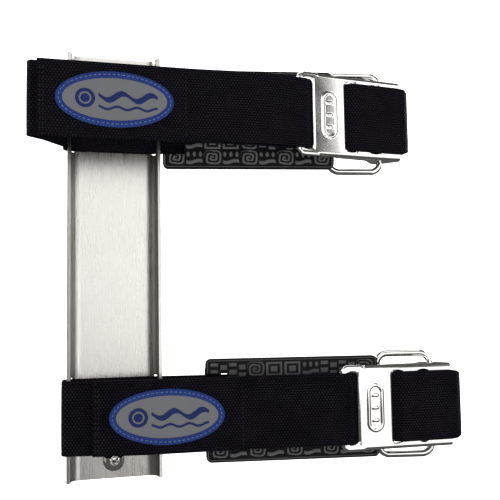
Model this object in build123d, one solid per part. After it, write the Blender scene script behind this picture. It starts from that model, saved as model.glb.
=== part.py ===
from build123d import *
import os
from math import asin, atan2, cos, degrees, hypot, radians, sin, tan

# Single-tank adapter: a folded steel channel that bolts upright to a diver's
# backplate, with two webbing cam bands that pass through slots in its flanges
# and clamp round a cylinder.  Millimetres.
#
# Frame: X across the channel, Z up along it, Y towards the backplate, with the
# origin midway between the two bolts on the back face of the channel.  Most
# shapes are drawn in plan as points (x, w), where w is the distance in front
# of that back face, towards the tank, so Y = -w.

os.makedirs("parts", exist_ok=True)

# ---- fits ----
PLAY = 0.3                # between surfaces of different pieces
PIN_PLAY = 0.25           # round a wire in its hole
STRAP_PLAY = 1.0          # each side of webbing in a slot
WIRE_CLEAR = 0.7          # between the pivot wire and the webbing over it

# ---- channel ----
CHANNEL_LENGTH = 304.8
STUD_SPACING = 279.4
SHEET = 2.5
FLANGE_ANGLE = 80.0       # turn from the web to the flange
BEND_RADIUS = 7.2         # inside the bend
CHANNEL_HALF_WIDTH = 33.5
CHANNEL_DEPTH = 12.4
SLOT_RIM = 4.4            # flange left outside each strap slot
FLANGE_CLEAR = 0.5        # between a flange and the webbing turned round it

# ---- bolts ----
BOLT_RADIUS = 4.0         # of the threaded shank
NECK_RADIUS = 4.2         # of the plain neck inside the channel's sheet
BOLT_REACH = 25.0         # shank behind the channel
HEAD_RADIUS = 7.8
HEAD_HEIGHT = 4.6
HEX_ACROSS = 5.0
HEX_DEPTH = 2.6

# ---- webbing and tapes ----
STRAP_WIDTH = 50.8
STRAP_THICK = 2.2
STRAP_Z = 106.9           # height of each band from the middle of the channel
TAPE_THICK = 1.2
TAPE_WIDTH = 48.0
PATCH_THICK = 1.2
PATCH_LENGTH = 79.0
PATCH_HEIGHT = 38.0
PATCH_RIM = 4.8

# ---- bail ----
WIRE_RADIUS = 2.4
BAIL_LENGTH = 40.5        # between the centres of its two bars
BAIL_WIDTH = 75.2         # between the centres of its two sides
BAIL_CORNER = 8.0
SEWN_LENGTH = 40.0
SPLIT_LENGTH = 14.0       # where the two sewn layers part round the bar
SEWN_RADII = (3.0, 4.0)   # of the bends where they part

# ---- lever, s along it from the free end, h above its top face ----
LEVER_LENGTH = 87.0
LEVER_WIDTH = 61.0
LEVER_SHEET = 1.5
LEVER_CORNER = 4.0
PIVOT_S = 76.0
PIVOT_DROP = 12.5
EAR_RADIUS = 5.2
WALL_START = 16.0
WALL_START_DROP = 5.0
LEVER_SLOTS = ((5.0, 13.0), (39.0, 48.0), (60.5, 68.5))
SLOT_CORNER = 2.4
WRAP_REACH = 9.6          # how far the webbing stands off the lever's pivot end
WRAP_RADII = [4.0, 4.0, 4.0, 30.0, 2.0, 2.0, 2.0, 2.0]

# ---- pad, u along the far run from the channel, n towards the tank ----
PAD_LENGTH = 128.0
PAD_WIDTH = 74.0
PAD_THICK = 4.5
PAD_CORNER = 4.0
PAD_WINDOW = 16.0
KEEPER = 12.0
KEEPER_SIDE = 3.2
KEEPER_INSET = 26.0       # from the pad's right end to the back keeper

# Every band has the same pieces, laid out in its own curve.  A tail's points
# are given where the webbing under it would run, and are lifted by the layers
# between.  "under" is the last bend before the pivot: how far along the lever,
# and how far below the webbing that is woven under its plate.
BANDS = {
    "upper": {
        "z": STRAP_Z,
        "lever": (126.5, 52.3),
        "tilt": -7.0,
        "bail_slope": 8.5,
        "pad_end": 2.3,
        "riser": [(-35.6, 17.0), (-50.0, 37.0), (-64.5, 49.9)],
        "riser_radii": [6.0, 15.0, 2.6],
        "near": [(95.0, 49.9)],
        "under": (13.28, 0.52),
        "near_radii": [60.0, 60.0],
        "tail": [(-55.0, 49.9), (50.0, 50.0), (88.0, 52.7), (108.0, 52.1)],
        "tail_radii": [150.0, 60.0, 60.0],
        "tapes": (-50.0, 80.0, -55.0, 46.0),
        "patch_x": -4.0,
    },
    "lower": {
        "z": -STRAP_Z,
        "lever": (157.5, 46.3),
        "tilt": 2.0,
        "bail_slope": 12.3,
        "pad_end": -2.2,
        "riser": [(-36.4, 20.4)],
        "riser_radii": [3.4],
        "near": [(26.0, 29.5), (89.0, 33.0)],
        "under": (-7.73, 1.33),
        "near_radii": [90.0, 90.0, 90.0],
        "tail": [(-17.0, 23.1), (26.0, 29.5), (89.0, 33.0), (146.0, 41.5)],
        "tail_radii": [90.0, 90.0, 30.0],
        "tapes": (-14.0, 112.0, -17.0, 88.0),
        "patch_x": 33.5,
    },
}

RUN_W = SHEET + PLAY + STRAP_THICK / 2      # webbing that lies in the channel
RUN_HALF = CHANNEL_HALF_WIDTH - 13.5        # its straight part inside the channel
RUN_RADIUS = 20.0                           # where it turns up towards the bail
SLOT_TURN_X = -(CHANNEL_HALF_WIDTH + FLANGE_CLEAR + STRAP_THICK / 2)
SLOT_TURN_RADIUS = 3.4
RISER_START = CHANNEL_DEPTH + 0.6           # where the riser leaves the slot turn
LOOP_RADIUS = WIRE_RADIUS + PLAY + STRAP_THICK / 2
LAYERS = STRAP_THICK + 2 * TAPE_THICK + PLAY
OVER = PLAY + STRAP_THICK / 2               # webbing over the lever's plate
UNDER = -(LEVER_SHEET + PLAY + STRAP_THICK / 2)
PIVOT_RUN_H = WIRE_RADIUS + WIRE_CLEAR + STRAP_THICK / 2 - PIVOT_DROP
PIVOT_RUN_S = PIVOT_S + 8.0                 # where the buckle's webbing is split
FOLD_LENGTH = 14.0        # from the fold's corner to the start of the near run
BUCKLE_SPLIT = 20.0       # the near run's last stretch swings with the bail
TAIL_GAP = 0.6
FAR_PAST = 400.0          # further than any piece reaches


def flat(point):
    """Turn a plan point (x, w) into model X and Y."""
    return (point[0], -point[1])


def turned(origin, angle, along, across):
    """The plan point `along` and `across` a line through origin at angle."""
    turn = radians(angle)
    return (
        origin[0] + along * cos(turn) - across * sin(turn),
        origin[1] + along * sin(turn) + across * cos(turn),
    )


def centre_line(points, radii=()):
    """Straight runs in plan, joined by tangent arcs."""
    if len(points) == 2:
        return Line(flat(points[0]), flat(points[1]))
    return FilletPolyline(*[flat(p) for p in points], radius=list(radii))


def ribbon(line, thick, width, z):
    """Webbing on edge: a centre line given a thickness, then a width."""
    section = trace(line, line_width=thick)
    return Pos(0, 0, z - width / 2) * extrude(section, amount=width, dir=(0, 0, 1))


def skin(line, core, thick, width, z, span, front=True):
    """A layer lying on one side of a ribbon, between two values of X."""
    outer = trace(line, line_width=core + 2 * thick)
    band = outer - trace(line, line_width=core)
    window = Pos(sum(span) / 2, 0) * Rectangle(span[1] - span[0], FAR_PAST)
    faces = (band & window).faces()
    pick = faces.sort_by(Axis.Y)[0 if front else -1]
    return Pos(0, 0, z - width / 2) * extrude(pick, amount=width, dir=(0, 0, 1))


def block(span_x, span_w, span_z):
    """A box between given values of x, w and z."""
    size = (span_x[1] - span_x[0], span_w[1] - span_w[0], span_z[1] - span_z[0])
    middle = (sum(span_x) / 2, -sum(span_w) / 2, sum(span_z) / 2)
    return Pos(*middle) * Box(*size)


def save(name, shape):
    export_step(shape, "parts/" + name + ".step")


# ---- channel and bolts ----

def flange_corner():
    """Where the centre lines of the web and a flange would meet."""
    tip = CHANNEL_HALF_WIDTH - SHEET / 2 * sin(radians(FLANGE_ANGLE))
    rise = CHANNEL_DEPTH - SHEET / 2 * cos(radians(FLANGE_ANGLE)) - SHEET / 2
    return tip, rise, tip - rise / tan(radians(FLANGE_ANGLE))


def make_channel():
    tip, rise, corner = flange_corner()
    top = SHEET / 2 + rise
    points = [(-tip, top), (-corner, SHEET / 2), (corner, SHEET / 2), (tip, top)]
    bend = BEND_RADIUS + SHEET / 2
    shape = ribbon(centre_line(points, [bend, bend]), SHEET, CHANNEL_LENGTH, 0)
    slot_half = STRAP_WIDTH / 2 + STRAP_PLAY
    for band in BANDS.values():
        for side in (-1, 1):
            across = sorted((side * (RUN_HALF + 1), side * 60))
            rows = (band["z"] - slot_half, band["z"] + slot_half)
            shape -= block(across, (SHEET, CHANNEL_DEPTH - SLOT_RIM), rows)
    for z in (-STUD_SPACING / 2, STUD_SPACING / 2):
        hole = Cylinder(NECK_RADIUS + PIN_PLAY, 4 * SHEET)
        shape -= Pos(0, -SHEET / 2, z) * Rot(90, 0, 0) * hole
    return shape


def make_bolt(z):
    """A button-head bolt: its dome faces the tank, its shank the backplate."""
    dome = (HEAD_RADIUS ** 2 + HEAD_HEIGHT ** 2) / (2 * HEAD_HEIGHT)
    ball = Pos(0, 0, HEAD_HEIGHT - dome) * Sphere(dome)
    head = ball & Pos(0, 0, HEAD_HEIGHT / 2) * Cylinder(HEAD_RADIUS + 1, HEAD_HEIGHT)
    recess = extrude(RegularPolygon(HEX_ACROSS / 2, 6, major_radius=False), HEX_DEPTH)
    head -= Pos(0, 0, HEAD_HEIGHT - HEX_DEPTH) * recess
    neck = Pos(0, 0, -SHEET / 2) * Cylinder(NECK_RADIUS, SHEET)
    middle = -SHEET - BOLT_REACH / 2
    shank = Pos(0, 0, middle) * Cylinder(BOLT_RADIUS, BOLT_REACH)
    return Pos(0, -SHEET, z) * Rot(90, 0, 0) * (head + neck + shank)


# ---- places on one band ----

def lever_point(band, s, h):
    return turned(band["lever"], band["tilt"], s, h)


def pivot(band):
    return lever_point(band, PIVOT_S, -PIVOT_DROP)


def bar(band):
    """Centre of the bail's other bar, held by the sewn end."""
    return turned(pivot(band), band["bail_slope"], -BAIL_LENGTH, 0)


def far_line(band):
    """Start, angle and length of the run from the channel to the bar."""
    start = (RUN_HALF, RUN_W)
    dx = bar(band)[0] - start[0]
    dw = bar(band)[1] - start[1]
    reach = hypot(dx, dw)
    lean = asin(LOOP_RADIUS / reach)
    return start, degrees(atan2(dw, dx) + lean), reach * cos(lean)


def far_point(band, u, n):
    start, angle, length = far_line(band)
    return turned(start, angle, u, n)


def near_end(band):
    """The near run passes over the pivot bar and stops a little beyond it."""
    return lever_point(band, PIVOT_RUN_S, PIVOT_RUN_H)


def near_under(band):
    """Its last bend, below the webbing that is woven under the lever."""
    s, gap = band["under"]
    return lever_point(band, s, UNDER - STRAP_THICK - gap)


def near_first(band):
    """Where the near run leaves the fold at its left end."""
    fold, after = band["riser"][-1], band["near"][0]
    angle = degrees(atan2(after[1] - fold[1], after[0] - fold[0]))
    return turned(fold, angle, FOLD_LENGTH, 0)


def near_path(band):
    points = [near_first(band)] + band["near"] + [near_under(band), near_end(band)]
    return points, band["near_radii"]


# ---- webbing ----

def make_sewn_end(band):
    """Webbing turned round the bail's bar and sewn back under the far run."""
    length = far_line(band)[2]
    loop = LOOP_RADIUS
    under = -STRAP_THICK
    route = [
        (-SPLIT_LENGTH, 0),
        (loop, 0),
        (loop, -2 * loop),
        (-2, -2 * loop),
        (-SPLIT_LENGTH, under),
        (-SEWN_LENGTH, under),
    ]
    points = [far_point(band, length + u, n) for u, n in route]
    line = centre_line(points, [loop - 0.01, loop - 0.01, *SEWN_RADII])
    return ribbon(line, STRAP_THICK, STRAP_WIDTH, band["z"])


def inner_piece(band, low, high):
    """Part of the webbing that lies in the channel and runs on to the bar."""
    split = far_point(band, far_line(band)[2] - SPLIT_LENGTH, 0)
    points = [(-RUN_HALF, RUN_W), (RUN_HALF, RUN_W), split]
    return cut_ribbon(points, [RUN_RADIUS], band["z"], (low, high), (0, FAR_PAST))


def make_far_run(band):
    return inner_piece(band, RUN_HALF, FAR_PAST)


def make_channel_run(band):
    return inner_piece(band, -RUN_HALF, RUN_HALF)


def fold_line(band):
    """From inside the channel, out through the slot and round to the near run."""
    points = [(-RUN_HALF, RUN_W), (SLOT_TURN_X, RUN_W)] + band["riser"]
    points.append(near_first(band))
    return points, [SLOT_TURN_RADIUS] + band["riser_radii"]


def cut_ribbon(points, radii, z, span_x, span_w):
    """The part of a long ribbon that lies between given values of x and w."""
    whole = ribbon(centre_line(points, radii), STRAP_THICK, STRAP_WIDTH, z)
    part = whole & block(span_x, span_w, (z - STRAP_WIDTH, z + STRAP_WIDTH))
    return part.solids()[0]


def make_slot_turn(band):
    points, radii = fold_line(band)
    return cut_ribbon(points, radii, band["z"], (-FAR_PAST, -RUN_HALF), (0, RISER_START))


def make_riser(band):
    points, radii = fold_line(band)
    span = (-FAR_PAST, FAR_PAST)
    return cut_ribbon(points, radii, band["z"], span, (RISER_START, FAR_PAST))


def near_split(band):
    return bar(band)[0] - BUCKLE_SPLIT


def whole_near(band):
    points, radii = near_path(band)
    return centre_line(points, radii)


def make_near_run(band):
    return near_piece(band, -FAR_PAST, near_split(band) - PLAY)


def make_buckle_run(band):
    return near_piece(band, near_split(band), FAR_PAST)


def near_piece(band, low, high):
    points, radii = near_path(band)
    return cut_ribbon(points, radii, band["z"], (low, high), (0, FAR_PAST))


def make_loop_tape(band):
    span = band["tapes"][:2]
    line = whole_near(band)
    return skin(line, STRAP_THICK, TAPE_THICK, TAPE_WIDTH, band["z"], span)


def make_buckle_wrap(band):
    """Webbing woven round the lever: round its end, over, under, and out."""
    first, second = LEVER_SLOTS[0], LEVER_SLOTS[1]
    route = [
        (PIVOT_RUN_S + PLAY, PIVOT_RUN_H),
        (LEVER_LENGTH + WRAP_REACH / 2, PIVOT_RUN_H - 0.2),
        (LEVER_LENGTH + WRAP_REACH, -3.6),
        (LEVER_LENGTH + 3.0, OVER + 0.2),
        (second[1] + 4.0, OVER),
        (second[1] - 1.2, OVER),
        (second[0] + 1.2, UNDER),
        (first[1] - 1.0, UNDER),
        (first[0] + 1.0, OVER),
        (0, OVER),
    ]
    points = [lever_point(band, s, h) for s, h in route]
    return ribbon(centre_line(points, WRAP_RADII), STRAP_THICK, STRAP_WIDTH, band["z"])


def tail_line(band):
    points = [(x, w + LAYERS) for x, w in band["tail"]]
    points.append(lever_point(band, -TAIL_GAP, OVER))
    return centre_line(points, band["tail_radii"])


def make_tail(band):
    return ribbon(tail_line(band), STRAP_THICK, STRAP_WIDTH, band["z"])


def make_hook_tape(band):
    span = band["tapes"][2:]
    line = tail_line(band)
    args = (STRAP_THICK, TAPE_THICK, TAPE_WIDTH, band["z"])
    return skin(line, *args, span, front=False)


def make_patch(band, inner):
    """An oval layer on the tail: its face, or the raised rim round the face."""
    half = PATCH_LENGTH / 2 + 1
    span = (band["patch_x"] - half, band["patch_x"] + half)
    thick = STRAP_THICK, PATCH_THICK
    layer = skin(tail_line(band), *thick, PATCH_HEIGHT + 2, band["z"], span)
    face = Ellipse(PATCH_LENGTH / 2 - PATCH_RIM, PATCH_HEIGHT / 2 - PATCH_RIM)
    outline = Ellipse(PATCH_LENGTH / 2, PATCH_HEIGHT / 2)
    drawn = face if inner else outline - face
    cutter = extrude(drawn, 100)
    return layer & Pos(band["patch_x"], 0, band["z"]) * Rot(90, 0, 0) * cutter


# ---- hardware ----

def make_bail(band):
    """A wire ring, closed through the lever's two ears."""
    middle = turned(pivot(band), band["bail_slope"], -BAIL_LENGTH / 2, 0)
    slope = radians(band["bail_slope"])
    along = Vector(cos(slope), -sin(slope), 0)
    across = along.cross(Vector(0, 0, 1))
    place = Plane((*flat(middle), band["z"]), x_dir=along, z_dir=across)
    ring = RectangleRounded(BAIL_LENGTH, BAIL_WIDTH, BAIL_CORNER).wire()
    start = Plane(ring @ 0, z_dir=ring % 0)
    wire = sweep(start * Circle(WIRE_RADIUS), path=ring)
    return place * wire


def lever_wall():
    """Outline of a side wall, as (s, h): shallow at first, deep at the ear."""
    low = -PIVOT_DROP - EAR_RADIUS
    return [
        (WALL_START, 0),
        (LEVER_LENGTH, 0),
        (LEVER_LENGTH, -4.0),
        (PIVOT_S + EAR_RADIUS, low + EAR_RADIUS),
        (PIVOT_S + EAR_RADIUS / 2, low),
        (PIVOT_S - EAR_RADIUS, low),
        (PIVOT_S - 3 * EAR_RADIUS, -LEVER_SHEET - 6.5),
        (WALL_START + 6, -WALL_START_DROP),
    ]


def make_lever(band):
    """A pressed plate with three webbing slots and two pivot ears."""
    sheet = RectangleRounded(LEVER_LENGTH, LEVER_WIDTH, LEVER_CORNER)
    outline = Pos(LEVER_LENGTH / 2, 0) * sheet
    plate = Pos(0, 0, -LEVER_SHEET) * extrude(outline, LEVER_SHEET)
    slot_width = STRAP_WIDTH + 2 * STRAP_PLAY
    for low, high in LEVER_SLOTS:
        slot = extrude(RectangleRounded(high - low, slot_width, SLOT_CORNER), 3 * LEVER_SHEET)
        plate -= Pos((low + high) / 2, 0, -2 * LEVER_SHEET) * slot
    outside = LEVER_WIDTH / 2
    for side in (-1, 1):
        wall = Plane.XZ * make_face(Polyline(*lever_wall(), close=True))
        inset = outside - LEVER_SHEET / 2
        plate += Pos(0, side * inset, 0) * extrude(wall, LEVER_SHEET / 2, both=True)
    hole = Pos(PIVOT_S, 0, -PIVOT_DROP) * Rot(90, 0, 0) * Cylinder(WIRE_RADIUS + PIN_PLAY, 90)
    plate -= hole
    front = turned((0, 0), band["tilt"], 0, 1)
    x_dir = turned((0, 0), band["tilt"], 1, 0)
    origin = (*flat(band["lever"]), band["z"])
    place = Plane(origin, x_dir=(*flat(x_dir), 0), z_dir=(*flat(front), 0))
    return place * plate


def make_pad(band):
    """A rubber sleeve: a plate on the tank side, with two keepers behind."""
    start, angle, length = far_line(band)
    right = length + band["pad_end"]
    left = right - PAD_LENGTH
    face = STRAP_THICK / 2 + PLAY
    outline = Pos((left + right) / 2, 0) * RectangleRounded(PAD_LENGTH, PAD_WIDTH, PAD_CORNER)
    pad = Pos(0, 0, face) * extrude(outline, PAD_THICK)
    inside = STRAP_WIDTH / 2 + STRAP_PLAY
    pad -= Pos(left, 0, face + PAD_THICK / 2) * Box(2 * PAD_WINDOW, 2 * inside, 2 * PAD_THICK)
    back_left = -face
    back_right = -face - STRAP_THICK
    far = right - KEEPER_INSET
    for low, back in ((left, back_left), (far - KEEPER, back_right)):
        middle = low + KEEPER / 2
        high = back - PAD_THICK
        bridge = Box(KEEPER, 2 * (inside + KEEPER_SIDE), PAD_THICK)
        pad += Pos(middle, 0, back - PAD_THICK / 2) * bridge
        for side in (-1, 1):
            cheek = Box(KEEPER, KEEPER_SIDE, face - high)
            where = side * (inside + KEEPER_SIDE / 2)
            pad += Pos(middle, where, (face + high) / 2) * cheek
    x_dir = turned((0, 0), angle, 1, 0)
    front = turned((0, 0), angle, 0, 1)
    origin = (*flat(start), band["z"])
    return Plane(origin, x_dir=(*flat(x_dir), 0), z_dir=(*flat(front), 0)) * pad


save("adapter_channel", make_channel())
bolts = [make_bolt(z) for z in (-STUD_SPACING / 2, STUD_SPACING / 2)]
save("mounting_bolts", Compound(children=bolts))

PIECES = {
    "strap_sewn_end": make_sewn_end,
    "strap_far_run": make_far_run,
    "strap_channel_run": make_channel_run,
    "strap_slot_turn": make_slot_turn,
    "strap_riser": make_riser,
    "strap_near_run": make_near_run,
    "strap_buckle_run": make_buckle_run,
    "strap_buckle_wrap": make_buckle_wrap,
    "strap_tail": make_tail,
    "loop_tape": make_loop_tape,
    "hook_tape": make_hook_tape,
    "wire_bail": make_bail,
    "cam_lever": make_lever,
    "grip_pad": make_pad,
}

for name, band in BANDS.items():
    for piece, make in PIECES.items():
        save(name + "_" + piece, make(band))
    save(name + "_patch_rim", make_patch(band, inner=False))
    save(name + "_patch_face", make_patch(band, inner=True))
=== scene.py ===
# %% [markdown]
# # A tank adapter with two cam bands
# The object is a folded steel channel that bolts upright to a diver's backplate.
# Two bands of nylon webbing pass through slots in its flanges and close round a
# tank with lever buckles.  Every measure below is in millimetres until the last
# moment, when a shape is turned into metres, because a maker thinks in millimetres.

# %% Load the frame
from math import asin, atan2, ceil, cos, degrees, hypot, pi, radians, sin, tan

import bpy
import numpy as np
from mathutils import Matrix, Vector


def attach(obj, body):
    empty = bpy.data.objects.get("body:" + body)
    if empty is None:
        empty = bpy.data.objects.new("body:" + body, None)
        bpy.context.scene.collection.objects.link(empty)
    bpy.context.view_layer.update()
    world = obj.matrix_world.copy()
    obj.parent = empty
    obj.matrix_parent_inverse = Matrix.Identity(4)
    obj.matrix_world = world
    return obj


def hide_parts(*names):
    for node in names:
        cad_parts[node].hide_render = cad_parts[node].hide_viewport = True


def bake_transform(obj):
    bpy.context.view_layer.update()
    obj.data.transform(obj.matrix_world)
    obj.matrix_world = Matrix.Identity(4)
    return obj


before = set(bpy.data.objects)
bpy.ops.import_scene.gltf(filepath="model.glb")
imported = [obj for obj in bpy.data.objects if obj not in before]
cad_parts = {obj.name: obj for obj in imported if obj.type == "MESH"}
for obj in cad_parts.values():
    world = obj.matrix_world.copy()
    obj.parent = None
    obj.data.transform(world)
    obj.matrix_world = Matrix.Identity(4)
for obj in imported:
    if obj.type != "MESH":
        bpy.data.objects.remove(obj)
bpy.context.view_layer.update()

MM = 0.001

# %% [markdown]
# ## Camera
# The camera comes first, because every later choice is judged through it.  It
# stands in front of the channel, a little to the left and a little low, and is
# turned to the right.  Three unit vectors say which way its right, its top and
# its back point; they are the columns of its matrix.

# %% Camera
CAMERA_PLACE = (-0.05722, -0.56226, -0.03495)
CAMERA_RIGHT = (0.96146, -0.27447, -0.01589)
CAMERA_UP = (-0.00632, -0.07983, 0.99679)
CAMERA_BACK = (-0.27486, -0.95828, -0.07849)
LENS = 54.96
SENSOR = 36.0


def stand_camera():
    """A camera whose axes are the three given vectors."""
    lens = bpy.data.cameras.new("camera")
    lens.lens = LENS
    lens.sensor_width = SENSOR
    lens.clip_start = 0.01
    camera = bpy.data.objects.new("camera", lens)
    bpy.context.collection.objects.link(camera)
    axes = Matrix((CAMERA_RIGHT, CAMERA_UP, CAMERA_BACK)).transposed()
    camera.matrix_world = Matrix.Translation(CAMERA_PLACE) @ axes.normalized().to_4x4()
    bpy.context.scene.camera = camera
    return camera


print("camera", stand_camera().matrix_world.translation)

# %% [markdown]
# ## Sizes
# These are the same driving sizes that the solid model is made from.  A piece
# worked out from them falls exactly where its solid lies.  Plan points are
# (x, w), where w is the distance in front of the channel's back face, so the
# model's Y is -w.

# %% Sizes
STRAP_WIDTH = 50.8
STRAP_PLAY = 1.0         # each side of webbing in a slot
STRAP_THICK = 2.2
STRAP_Z = 106.9
PLAY = 0.3
TAPE_THICK = 1.2
TAPE_WIDTH = 48.0
SHEET = 2.5
CHANNEL_LENGTH = 304.8
CHANNEL_HALF_WIDTH = 33.5
CHANNEL_DEPTH = 12.4
FLANGE_ANGLE = 80.0
BEND_RADIUS = 8.45       # on the sheet's middle line
SLOT_RIM = 4.4
STUD_SPACING = 279.4
WIRE_RADIUS = 2.4
BAIL_LENGTH = 40.5
BAIL_WIDTH = 75.2
BAIL_CORNER = 8.0
LEVER_LENGTH = 87.0
LEVER_WIDTH = 61.0
LEVER_SHEET = 1.5
PIVOT_S = 76.0
PIVOT_DROP = 12.5
LEVER_SLOTS = ((5.0, 13.0), (39.0, 48.0), (60.5, 68.5))
PAD_LENGTH = 128.0
PAD_WINDOW = 16.0
PAD_WIDTH = 74.0
PAD_THICK = 4.5
RUN_HALF = 20.0
RUN_W = SHEET + PLAY + STRAP_THICK / 2
SLOT_TURN_X = -(CHANNEL_HALF_WIDTH + 0.5 + STRAP_THICK / 2)
LOOP_RADIUS = WIRE_RADIUS + PLAY + STRAP_THICK / 2
SEWN_LENGTH = 40.0
SPLIT_LENGTH = 14.0
JOIN_LENGTH = 34.0        # from the fold to the seam hidden under the tail
OVER = PLAY + STRAP_THICK / 2
UNDER = -(LEVER_SHEET + PLAY + STRAP_THICK / 2)
PIVOT_GAP = WIRE_RADIUS + 0.7 + STRAP_THICK / 2

BANDS = {
    "upper": {
        "z": STRAP_Z,
        "lever": (126.5, 52.3),
        "tilt": -7.0,
        "bail_slope": 8.5,
        "pad_end": 2.3,
        "riser": [(-35.6, 17.0), (-50.0, 37.0), (-64.5, 49.9)],
        "riser_radii": [6.0, 15.0, 2.6],
        "near": [(95.0, 49.9)],
        "under": (13.28, 0.52),
        "near_radii": [60.0, 60.0],
        "tail": [(-55.0, 54.8), (50.0, 54.9), (88.0, 57.6), (108.0, 57.0)],
        "tail_radii": [150.0, 60.0, 60.0],
        "tapes": (-50.0, 80.0, -55.0, 46.0),
        "patch_x": -4.0,
    },
    "lower": {
        "z": -STRAP_Z,
        "lever": (157.5, 46.3),
        "tilt": 2.0,
        "bail_slope": 12.3,
        "pad_end": -2.2,
        "riser": [(-36.4, 20.4)],
        "riser_radii": [3.4],
        "near": [(26.0, 29.5), (89.0, 33.0)],
        "under": (-7.73, 1.33),
        "near_radii": [90.0, 90.0, 90.0],
        "tail": [(-17.0, 28.0), (26.0, 34.4), (89.0, 37.9), (146.0, 46.4)],
        "tail_radii": [90.0, 90.0, 30.0],
        "tapes": (-14.0, 112.0, -17.0, 88.0),
        "patch_x": 33.5,
    },
}


def turned(origin, angle, along, across):
    """The plan point `along` and `across` a line through origin at angle."""
    turn = radians(angle)
    return (
        origin[0] + along * cos(turn) - across * sin(turn),
        origin[1] + along * sin(turn) + across * cos(turn),
    )


def lever_point(band, s, h):
    """The plan point s along a band's lever and h above its top face."""
    return turned(band["lever"], band["tilt"], s, h)


def pivot(band):
    """Where the pivot wire passes through the lever's ears."""
    return lever_point(band, PIVOT_S, -PIVOT_DROP)


def bar(band):
    return turned(pivot(band), band["bail_slope"], -BAIL_LENGTH, 0)


def far_line(band):
    """Start, angle and length of the run from the channel to the bail's bar."""
    start = (RUN_HALF, RUN_W)
    dx = bar(band)[0] - start[0]
    dw = bar(band)[1] - start[1]
    reach = hypot(dx, dw)
    lean = asin(LOOP_RADIUS / reach)
    return start, degrees(atan2(dw, dx) + lean), reach * cos(lean)


def far_point(band, u, n):
    """The plan point u along the far run from the channel and n towards the tank."""
    start, angle, length = far_line(band)
    return turned(start, angle, u, n)


def along_near(band, distance):
    """A point on the near run, at a distance from the corner of the fold."""
    fold, after = band["riser"][-1], band["near"][0]
    angle = degrees(atan2(after[1] - fold[1], after[0] - fold[0]))
    return turned(fold, angle, distance, 0)


for name, band in BANDS.items():
    print(name, "pivot", pivot(band), "bar", bar(band))

# %% [markdown]
# ## Turning arrays into meshes
# Each surface below is a grid: rows of points joined to their neighbours by
# four-sided faces.  Numpy works the whole grid out at once, and foreach_set
# hands it to Blender in one go, which is far quicker than adding points in a
# loop.  The volume of the closed shape tells whether its faces point outwards:
# if it comes out negative, every face is turned over.


# %% Mesh helpers
def grid_faces(rows, columns, close_rows=False, close_columns=False):
    """Faces of a grid: point (i, j) has number i * columns + j."""
    i = np.arange(rows if close_rows else rows - 1)
    j = np.arange(columns if close_columns else columns - 1)
    i, j = [part.ravel() for part in np.meshgrid(i, j, indexing="ij")]
    down, right = (i + 1) % rows, (j + 1) % columns
    corners = (i * columns + j, down * columns + j, down * columns + right, i * columns + right)
    return np.stack(corners, axis=1)


def volume(points, faces):
    """Sum of the cones from the origin to each face: half of each quad at a time."""
    a, b, c, d = (points[faces[:, k]] for k in range(4))
    first = np.einsum("ij,ij->i", a, np.cross(b, c)).sum()
    second = np.einsum("ij,ij->i", a, np.cross(c, d)).sum()
    return (first + second) / 6


def new_piece(name, points, faces, cloth=None, values=None, closed=True):
    """A mesh object from points in millimetres and four-sided faces."""
    points = np.asarray(points, dtype=float).reshape(-1, 3) * MM
    faces = np.asarray(faces, dtype=np.int32)
    if closed and volume(points, faces) < 0:
        faces = faces[:, ::-1]
    mesh = bpy.data.meshes.new(name)
    mesh.vertices.add(len(points))
    mesh.vertices.foreach_set("co", points.ravel())
    mesh.loops.add(faces.size)
    mesh.loops.foreach_set("vertex_index", np.ascontiguousarray(faces).ravel())
    mesh.polygons.add(len(faces))
    mesh.polygons.foreach_set("loop_start", np.arange(len(faces), dtype=np.int32) * 4)
    mesh.polygons.foreach_set("use_smooth", np.ones(len(faces), dtype=bool))
    if cloth is not None:
        layer = mesh.uv_layers.new(name="cloth")
        layer.data.foreach_set("uv", np.asarray(cloth).reshape(-1, 2)[faces].ravel())
    for label, value in (values or {}).items():
        row = mesh.attributes.new(label, "FLOAT", "POINT")
        row.data.foreach_set("value", np.asarray(value, dtype=np.float32).ravel())
    mesh.update(calc_edges=True)
    mesh.validate()
    piece = bpy.data.objects.new(name, mesh)
    bpy.context.collection.objects.link(piece)
    print(f"{name}: {len(points)} points, {len(faces)} faces")
    return piece


def joined(parts):
    """Several (points, faces) grids as one."""
    points, faces, base = [], [], 0
    for part_points, part_faces in parts:
        part_points = np.asarray(part_points).reshape(-1, 3)
        points.append(part_points)
        faces.append(part_faces + base)
        base += len(part_points)
    return np.concatenate(points), np.concatenate(faces)


def give(piece, material, slot, *nodes):
    """Gives a piece its finish and hides the solids that it stands for."""
    piece.data.materials.append(material)
    if nodes:
        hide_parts(*nodes)
    return piece


# %% [markdown]
# ## A path with rounded corners
# A strap, a folded sheet and a bent wire all follow a path in plan: straight
# runs with an arc at each corner.  An arc of radius r starts r * tan(turn / 2)
# before its corner.  The rough path is then walked in equal steps, so that a
# woven pattern keeps its pitch all the way.


# %% Rounded paths
def arc_points(before, corner, after, radius):
    """Points of the arc that rounds one corner, three degrees apart."""
    back = np.subtract(before, corner) / np.linalg.norm(np.subtract(before, corner))
    on = np.subtract(after, corner) / np.linalg.norm(np.subtract(after, corner))
    turn = pi - np.arccos(np.clip(np.dot(back, on), -1, 1))
    bisector = (back + on) / np.linalg.norm(back + on)
    centre = corner + bisector * radius / cos(turn / 2)
    start = corner + back * radius * tan(turn / 2) - centre
    steps = max(2, ceil(degrees(turn) / 3))
    side = np.sign(back[0] * on[1] - back[1] * on[0])
    swing = -side * np.linspace(0, turn, steps + 1)
    spun = np.outer(np.cos(swing), start)
    spun += np.outer(np.sin(swing), (-start[1], start[0]))
    return centre + spun


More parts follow.
